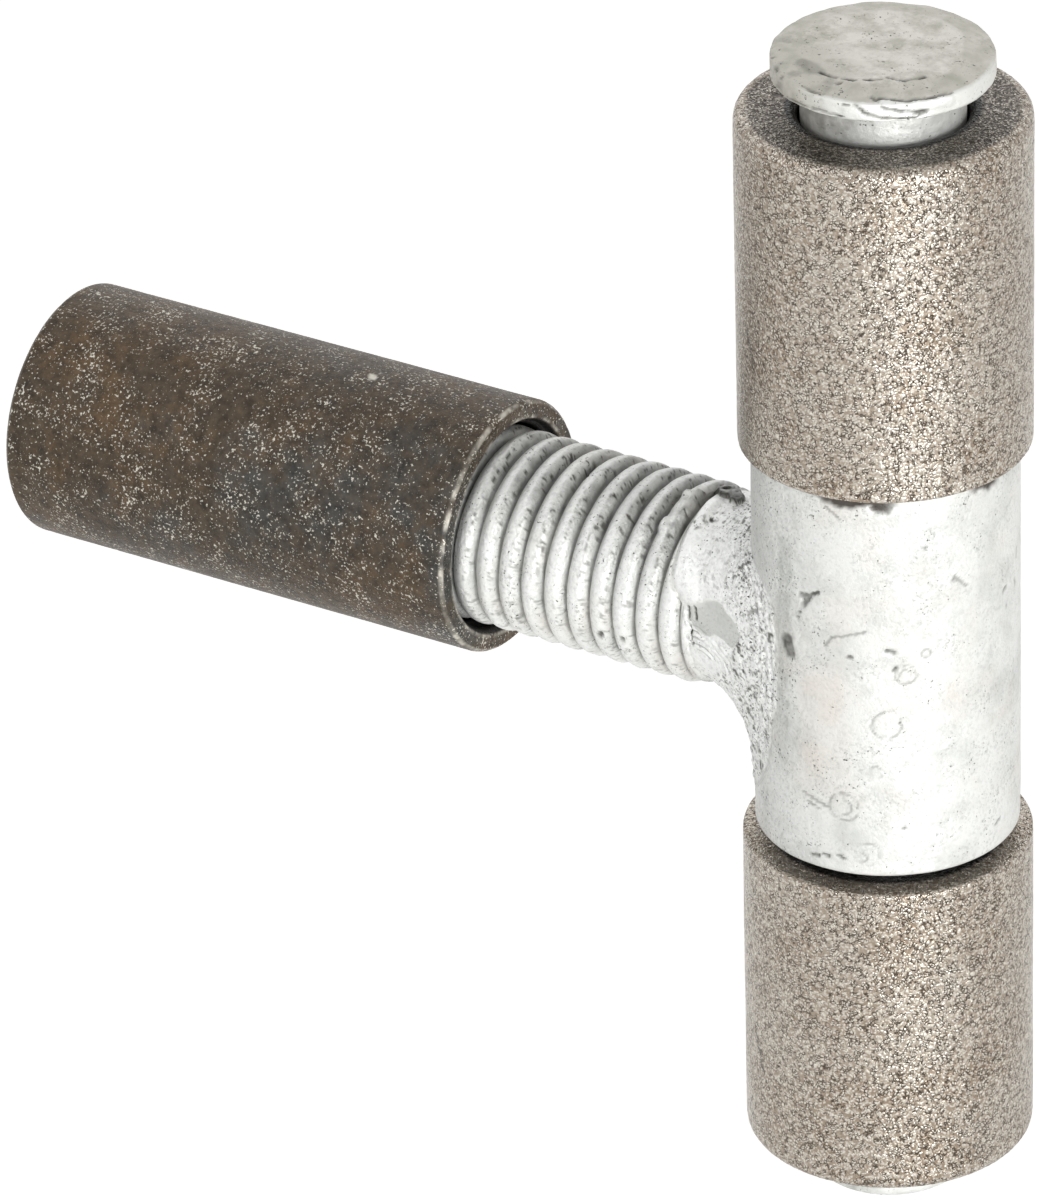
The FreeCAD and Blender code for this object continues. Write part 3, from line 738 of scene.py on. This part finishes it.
    def surface(self, columns, rows):
        """The smooth bead as a grid of points, and the share of the way from thread to toe for its rows."""
        _, _, radius, axis_x = upright("centre_barrel")
        turn = np.arange(columns) * 360 / columns
        begin_x = round_about(turn, START_TURN, START_X)
        begin_out = round_about(turn, START_TURN, START_OUT)
        side, rise = np.cos(np.radians(turn)), np.sin(np.radians(turn))
        ring = np.stack((np.zeros(columns), 16 * side, 16 * rise), axis=1)
        end_out = round_about(turn, TOE_TURN, TOE_OUT) + 0.35 * lumps(ring, 3.0, 301) + 0.2 * lumps(ring, 1.1, 303)
        end_x = axis_x - np.sqrt(radius ** 2 - (end_out * side) ** 2)
        # It leaves the stud along it and meets the barrel along its wall, which slopes this much.
        slope_x = end_out * side ** 2 / (axis_x - end_x)
        slope_length = np.hypot(slope_x, 1)
        reach = np.hypot(end_x - begin_x, end_out - begin_out)
        pull = np.interp(rise, (-1, -0.3, 0.3, 1), (1.7, 1.1, 0.8, 0.15))
        share = np.linspace(0, 1, rows)[:, None]
        blend_start = 2 * share ** 3 - 3 * share ** 2 + 1
        blend_out = share ** 3 - 2 * share ** 2 + share
        blend_end = 3 * share ** 2 - 2 * share ** 3
        blend_in = share ** 3 - share ** 2
        along = (blend_start * begin_x + blend_out * reach
                 + blend_end * end_x + blend_in * reach * pull * slope_x / slope_length)
        out = (blend_start * begin_out + blend_out * 0.15 * reach
               + blend_end * end_out + blend_in * reach * pull / slope_length)
        # The hidden return: into the barrel's wall, back to the neck and along it.
        along = np.vstack((along, end_x + 0.5, end_x + 0.3, np.full(columns, 64.5), begin_x + 0.3))
        out = np.vstack((out, end_out - 0.4, np.minimum(end_out, 12.0) - 1.2,
                         np.full(columns, 10.4), np.full(columns, 10.3)))
        return np.stack((along, out * side, out * rise), axis=2), share[:, 0]

    def normals(self, grid):
        """Outward normals of a grid of points."""
        down = np.roll(grid, -1, axis=0) - np.roll(grid, 1, axis=0)
        across = np.roll(grid, -1, axis=1) - np.roll(grid, 1, axis=1)
        normals = np.cross(across, down)
        return (normals / np.linalg.norm(normals, axis=2)[:, :, None]).reshape(-1, 3)


class HINGE_OT_centre_barrel(bpy.types.Operator):
    """Galvanise the centre barrel"""

    bl_idname = "hinge.centre_barrel"
    bl_label = "Centre barrel"

    # Marks by width and places, as (degrees round the pin, height): dark chips and nicks, thin cracks
    # and scratches, and round spatters as (degrees, height, radius of the ring).
    CHIPS = (
        (0.55, ((-99, 11.5), (-95, 11.7))), (0.3, ((-95, 11.8), (-90, 12.6))), (0.6, ((-96, 11.2), (-98, 10.2))),
        (0.35, ((-100, 9.2),)), (0.3, ((-101, 8.5),)), (1.45, ((-107.3, 4.5), (-107, 3.5))),
        (0.3, ((-77, 4.9), (-75, 4.9))), (0.4, ((-60, 6.0), (-57, 5.8))), (0.32, ((-56, 3.8), (-57, 3.3))),
        (0.25, ((-55, -3.6),)), (0.3, ((0, 9.5), (3, 9.8))), (0.3, ((15, 13.2), (15, 12.2))),
        (0.3, ((12, 9.5), (13, 8.8))), (0.25, ((3, 7.2),)), (0.3, ((-43, 19.0),)),
        (0.28, ((-6, -20.8), (-3, -20.4))), (0.25, ((-13, -20.5),)), (0.28, ((-53, -17.6),)),
        (0.25, ((-31, -11.5),)), (0.28, ((-95, -22.6), (-91, -22.4))), (0.28, ((-89, -22.0), (-86, -22.2))),
        (0.25, ((-82, -21.8), (-79, -22.0))),
    )
    CRACKS = (
        (0.22, ((-87, 5.8), (-84, 7.1), (-77, 7.7), (-73, 8.1), (-69, 8.4))),
        (0.24, ((-99, -14.4), (-92, -15.1), (-86, -15.6))), (0.24, ((-97, -15.5), (-91, -16.0))),
        (0.26, ((-30, 14.6), (-24, 12.9))), (0.22, ((-31, 14.2), (-28, 14.0))), (0.24, ((-86, 24.1), (-80, 22.9))),
    )
    SPATTERS = ((-43, 5.3, 0.6), (-52, 2.8, 0.6), (-52, 2.8, 1.25), (-60, -3.8, 1.75), (-65, -10.1, 0.7),
                (-79, -15.1, 0.9), (-79, -15.1, 1.8), (-69, -21.1, 1.5), (-71, -21.7, 0.55))
    WELD_SHADE = ((-108, 17), (-108, 12), (-110, 5), (-110, -2), (-112, -8))

    def execute(self, context):
        sizes = context.scene.hinge_sizes
        finish = galvanised_steel(context.scene.hinge_colours)
        bottom, top, radius, axis_x = upright("centre_barrel")
        on_wall = functools.partial(round_pin, axis_x=axis_x, radius=radius)
        fine, bevel = 0.26, 0.8
        points, normals, faces = turned((
            (bottom, radius, 0.5, fine), (top, radius, 0.5, fine), (top, CENTRE_BORE + bevel, 0.2, 1.0),
            (top - bevel, CENTRE_BORE, 0.2, 4.0), (bottom + bevel, CENTRE_BORE, 0.2, 1.0),
            (bottom, CENTRE_BORE + bevel, 0.2, 1.0),
        ), 376, True, "Z", axis_x)
        out, around = about_pin(points, axis_x)
        degrees = np.degrees(around)
        shown = ease(radius - 1.5, radius - 0.2, out)
        sink = shown * sizes.zinc_depth / MM * (1 - rough(points, 5.0, 161, 4))
        chips = marks(points, self.CHIPS, 170, on_wall, 0.88)
        cracks = marks(points, self.CRACKS, 200, on_wall)
        raised = np.zeros(len(points))
        rings = np.zeros(len(points))
        for number, (angle, height, size) in enumerate(self.SPATTERS):
            middle = on_wall(((angle, height),))[0]
            away = np.linalg.norm(points - middle, axis=1) + 0.12 * lumps(points, 0.9, 210 + number)
            raised = np.maximum(raised, 1 - ease(size - 0.45, size + 0.1, away))
            broken = ease(-0.6, 0.4, lumps(points, 0.8, 230 + number))
            rings = np.maximum(rings, broken * (1 - ease(0.05, 0.24, np.abs(away - size))))
        # Zinc and dirt heaped along the joint with the upper barrel, in two stretches.
        heap = np.maximum(band(-98, -84, -62, -52, degrees), band(-24, -16, -8, -2, degrees))
        ragged = 0.9 * lumps(points, 1.6, 240) + 0.5 * lumps(points, 0.7, 241)
        crust = heap * ease(top - 1.9, top - 1.4, points[:, 2] + 0.8 * ragged)
        fringe = heap * ease(top - 3.4, top - 2.4, points[:, 2] + 0.8 * ragged) * (1 - crust)
        relief = 0.3 * chips + 0.12 * cracks - 0.07 * raised + 0.06 * rings + 0.2 * crust - 0.12 * fringe
        points = points - normals * (sink + shown * relief)[:, None]
        # Dirt in the marks, shade along the weld's toe, and rust and coarse zinc below it.
        toe = mark(points, on_wall(self.WELD_SHADE), 1.9, 250)
        rusty = band(-106, -96, -84, -70, degrees) * ease(-18, -10, points[:, 2]) * (1 - ease(0, 6, points[:, 2]))
        paints = {
            "dirt": most(chips * (0.72 + 0.3 * rough(points, 0.5, 172, 2)), 0.5 * cracks, 0.45 * rings),
            "grey": toe * (0.55 + 0.5 * rough(points, 1.2, 252)),
            "crust": 0.95 * crust,
            "rusty": rusty * (0.4 + 0.3 * rough(points, 3.0, 254)),
            "coarse": np.maximum(0.5 * toe, 0.4 * ease(-75, -110, degrees) * ease(-150, -130, degrees)),
        }
        add_piece("centre_barrel_zinc", points, faces, paints, finish, "eye", "centre_barrel")
        return {"FINISHED"}


class HINGE_OT_hinge_pin(bpy.types.Operator):
    """Forge the headed pin"""

    bl_idname = "hinge.hinge_pin"
    bl_label = "Hinge pin"

    # Marks on the head by width and places, as (degrees round the pin, distance from it, height).
    CREASES = (
        (0.3, ((-109, 9.3, 75.2), (-101, 9.3, 75.2), (-95, 9.2, 75.25))), (0.26, ((-90, 9.1, 75.3), (-81, 9.0, 75.3))),
        (0.24, ((-74, 8.5, 75.3), (-62, 8.2, 75.3))), (0.26, ((-56, 7.8, 75.3), (-44, 8.9, 75.3), (-28, 8.9, 75.3))),
        (0.45, ((-90, 10.0, 75.05),)),
        (0.3, ((-62, 11.6, 74.6), (-48, 12.3, 74.45), (-35, 12.3, 74.4), (-23, 12.5, 74.35))),
        (0.3, ((-66, 11.5, 74.65), (-61, 12.8, 73.98), (-53, 12.85, 73.42), (-44, 12.85, 73.1), (-38, 12.85, 73.1))),
        (0.3, ((-75, 12.8, 74.2), (-70, 12.85, 73.3), (-63, 12.85, 72.6), (-53, 12.85, 72.4), (-44, 12.85, 72.4),
               (-38, 12.85, 72.9))),
        (0.24, ((-125, 12.8, 73.9), (-100, 12.4, 74.4), (-78, 12.8, 73.9))),
        (0.24, ((-130, 12.85, 72.6), (-110, 12.85, 72.4), (-94, 12.85, 72.6), (-81, 12.85, 72.4))),
        (0.3, ((-144, 12.5, 74.4),)), (0.35, ((-133, 12.7, 74.3), (-130, 12.7, 74.2))), (0.3, ((-124, 12.8, 74.3),)),
    )
    TONGUES = (
        (0.9, ((-60, 12.4, 74.2), (-48, 12.85, 73.9), (-36, 12.85, 73.8), (-24, 12.85, 73.7))),
        (0.6, ((-72, 12.6, 74.0), (-64, 12.85, 73.3), (-54, 12.85, 72.9), (-44, 12.85, 72.75))),
    )
    SMUDGE = ((-128, 9.6, 75.1), (-112, 9.3, 75.2))

    def execute(self, context):
        sizes = context.scene.hinge_sizes
        finish = dull_zinc_steel(context.scene.hinge_colours)
        bottom, top, radius, axis_x = upright("hinge_pin")
        on_head = functools.partial(round_pin, axis_x=axis_x)
        columns, fine, under_head, rim_start = 260, 0.26, top - 3.2, top - 1.0
        points, normals, faces = turned((
            (bottom, 0.3, 0, 0.8), (bottom, PIN_RADIUS - 0.5, 0.3, fine), (bottom + 0.6, PIN_RADIUS, 0.3, fine),
            (bottom + 8, PIN_RADIUS, 0, 6.0), (top - 9, PIN_RADIUS, 0, fine), (under_head, PIN_RADIUS, 0.5, fine),
            (under_head, radius, 0.35, fine), (rim_start, radius, 0.35, fine),
            (top, HEAD_FLAT_RADIUS, 0.3, fine), (top, 0.3, 0, fine),
        ), columns, False, "Z", axis_x)
        shown = ease(top - 8, top - 5, points[:, 2])
        sink = shown * (sizes.zinc_depth / MM * 2 * (1 - rough(points, 4.0, 171, 4)) + 0.07 * rough(points, 1.4, 173, 2))
        creases = marks(points, self.CREASES, 260, on_head)
        tongues = marks(points, self.TONGUES, 280, on_head)
        points = points - normals * (sink + 0.22 * creases - 0.12 * tongues)[:, None]
        # The head is a little thicker at the back left.
        out, around = about_pin(points, axis_x)
        back = 0.5 + 0.5 * np.cos(around - math.radians(140))
        points[:, 2] += 0.6 * back * ease(7.0, radius - 0.3, out) * ease(top - 2.2, top - 1.0, points[:, 2])
        # Bright zinc on the tongues, and a painted highlight on the front of the rim and the shank; smudges on the
        # left and the bevel.
        degrees = np.degrees(around)
        front = 1 - ease(40, 75, np.abs(degrees + 40))
        left = 1 - ease(25, 60, np.abs(degrees + 125))
        rim = ease(12.2, 12.7, out)
        shank = (1 - ease(PIN_RADIUS + 0.1, PIN_RADIUS + 0.4, out)) * (1 - ease(top - 2.6, top - 2.2, points[:, 2]))
        bright = most(tongues, 0.8 * rim * front, shank * (0.35 + 0.65 * front))
        bevel = ease(HEAD_FLAT_RADIUS - 0.4, HEAD_FLAT_RADIUS + 0.6, out + 0.9 * rough(points, 3.0, 291))
        bevel = bevel * (1 - front * rim)
        smudge = most(shank * (0.25 + 0.55 * left) * np.clip(0.45 + 0.6 * rough(points, 0.8, 293), 0, 1),
                      0.55 * left * ease(8, 11, out) * ease(0.1, 0.6, rough(points, 1.6, 295)),
                      mark(points, on_head(self.SMUDGE), 1.2, 297) * 0.6)
        paints = {
            "dirt": np.maximum(creases * (0.6 + 0.4 * lumps(points, 0.9, 299)), 0.6 * smudge),
            "wear": bright * (1 - smudge),
            "grey": shown * np.maximum(bevel * (0.5 + 0.4 * rough(points, 1.6, 301)), 0.5 * left * ease(3, 8, out)),
        }
        points, faces, paints = capped(points, faces, paints, columns)
        add_piece("hinge_pin_zinc", points, faces, paints, finish, "pin", "hinge_pin")
        return {"FINISHED"}


class HINGE_OT_studio(bpy.types.Operator):
    """Set up the floor, the lamps, the white surroundings and the camera"""

    bl_idname = "hinge.studio"
    bl_label = "Studio"

    # Each lamp's name, azimuth and elevation in degrees, distance, width and height in metres, and watts.
    LAMPS = (
        ("key_lamp", -38, 8, 1.1, 0.32, 0.6, 8.3),
        ("back_lamp", 120, 32, 1.3, 1.2, 1.0, 1.6),
        ("side_lamp", -125, 35, 1.2, 0.5, 0.5, 1.3),
    )
    MIDDLE = Vector((0.05, 0, 0))
    PIN_AXIS = Vector((0.0824, 0, 0))
    FLOOR_Z = -0.222
    FLOOR_HALF = 3.0

    def execute(self, context):
        context.scene.view_settings.view_transform = "Standard"
        self.add_floor(context.scene)
        self.add_surroundings(context.scene)
        for lamp in self.LAMPS:
            self.add_lamp(context.scene, *lamp)
        self.add_camera(context.scene)
        return {"FINISHED"}

    def add_floor(self, scene):
        """A pale floor, well below the hinge, which would hang from its post."""
        half = self.FLOOR_HALF
        mesh = bpy.data.meshes.new("studio_floor")
        corners = [(x * half, y * half, self.FLOOR_Z) for x, y in ((-1, -1), (1, -1), (1, 1), (-1, 1))]
        mesh.from_pydata(corners, [], [(0, 1, 2, 3)])
        finish = bpy.data.materials.new("pale_floor_paint")
        finish.use_nodes = True
        tree = finish.node_tree
        tree.nodes.clear()
        seen = add_node(tree, "Math", (self.seen_white(tree), 0.62), operation="MULTIPLY")
        shader = add_node(tree, "BsdfPrincipled", {
            "Base Color": linear("#E8E8E6"), "Roughness": 0.9, "Specular IOR Level": 0.0,
            "Emission Color": (1, 1, 1, 1), "Emission Strength": seen,
        })
        add_node(tree, "OutputMaterial", {"Surface": shader})
        mesh.materials.append(finish)
        floor = bpy.data.objects.new("studio_floor", mesh)
        scene.collection.objects.link(floor)

    def add_surroundings(self, scene):
        """White all round as seen and mirrored, and a softer level as light."""
        scene.world = bpy.data.worlds.new("white_studio")
        scene.world.use_nodes = True
        tree = scene.world.node_tree
        tree.nodes.clear()
        level = add_node(tree, "MapRange", (self.seen_white(tree), 0, 1, 0.37, 1.0))
        light = add_node(tree, "Background", {"Color": (1, 1, 1, 1), "Strength": level})
        add_node(tree, "OutputWorld", {"Surface": light})

    def seen_white(self, tree):
        """1 for what the camera sees, directly, mirrored or through glass, and 0 for light."""
        camera, glossy, through = [add_node(tree, "LightPath", out="Is %s Ray" % ray)
                                   for ray in ("Camera", "Glossy", "Transmission")]
        seen = add_node(tree, "Math", (camera, glossy), operation="MAXIMUM")
        return add_node(tree, "Math", (seen, through), operation="MAXIMUM")

    def add_lamp(self, scene, name, azimuth, elevation, distance, width, height, watts):
        """A soft box that faces the hinge."""
        data = bpy.data.lights.new(name, "AREA")
        data.shape = "RECTANGLE"
        data.size = width
        data.size_y = height
        data.energy = watts
        lamp = bpy.data.objects.new(name, data)
        around, up = math.radians(azimuth), math.radians(elevation)
        away = Vector((math.cos(around) * math.cos(up), math.sin(around) * math.cos(up), math.sin(up)))
        lamp.location = self.MIDDLE + away * distance
        lamp.rotation_euler = away.to_track_quat("Z", "Y").to_euler()
        scene.collection.objects.link(lamp)

    def add_camera(self, scene):
        """The photograph's view: a long lens, from the front right and above."""
        azimuth, elevation, roll, distance = 0.5671, 0.5090, -0.0273, 1.1516
        aside, above = -0.04262, 0.00471
        back = Vector((math.sin(azimuth) * math.cos(elevation), -math.cos(azimuth) * math.cos(elevation),
                       math.sin(elevation)))
        level = Vector((math.cos(azimuth), math.sin(azimuth), 0))
        upright_to_view = back.cross(level)
        right = level * math.cos(roll) + upright_to_view * math.sin(roll)
        up = upright_to_view * math.cos(roll) - level * math.sin(roll)
        data = bpy.data.cameras.new("photo_camera")
        data.lens = 297.63
        data.sensor_width = 36
        camera = bpy.data.objects.new("photo_camera", data)
        place = Matrix((right, up, back)).transposed().to_4x4()
        place.translation = self.PIN_AXIS + level * aside + upright_to_view * above + back * distance
        camera.matrix_world = place
        scene.collection.objects.link(camera)
        scene.camera = camera


class HINGE_PT_panel(bpy.types.Panel):
    """Lists the steps, sizes and colours of the hinge"""

    bl_idname = "HINGE_PT_panel"
    bl_label = "Gate hinge"
    bl_space_type = "VIEW_3D"
    bl_region_type = "UI"
    bl_category = "Gate hinge"

    def draw(self, context):
        for step in STEPS:
            self.layout.operator(step.bl_idname)
        for group in (context.scene.hinge_sizes, context.scene.hinge_colours):
            for name in group.bl_rna.properties.keys():
                if name not in ("rna_type", "name"):
                    self.layout.prop(group, name)


STEPS = (
    HINGE_OT_gate_barrels,
    HINGE_OT_post_sleeve,
    HINGE_OT_adjusting_stud,
    HINGE_OT_stud_weld,
    HINGE_OT_centre_barrel,
    HINGE_OT_hinge_pin,
    HINGE_OT_studio,
)
CLASSES = (HingeSizes, HingeColours) + STEPS + (HINGE_PT_panel,)


def register():
    for item in CLASSES:
        bpy.utils.register_class(item)
    bpy.types.Scene.hinge_sizes = PointerProperty(type=HingeSizes)
    bpy.types.Scene.hinge_colours = PointerProperty(type=HingeColours)


def unregister():
    del bpy.types.Scene.hinge_colours
    del bpy.types.Scene.hinge_sizes
    for item in reversed(CLASSES):
        bpy.utils.unregister_class(item)


def main():
    """Build every piece in order."""
    register()
    bpy.ops.hinge.gate_barrels()
    bpy.ops.hinge.post_sleeve()
    bpy.ops.hinge.adjusting_stud()
    bpy.ops.hinge.stud_weld()
    bpy.ops.hinge.centre_barrel()
    bpy.ops.hinge.hinge_pin()
    bpy.ops.hinge.studio()


if __name__ == "__main__":
    main()
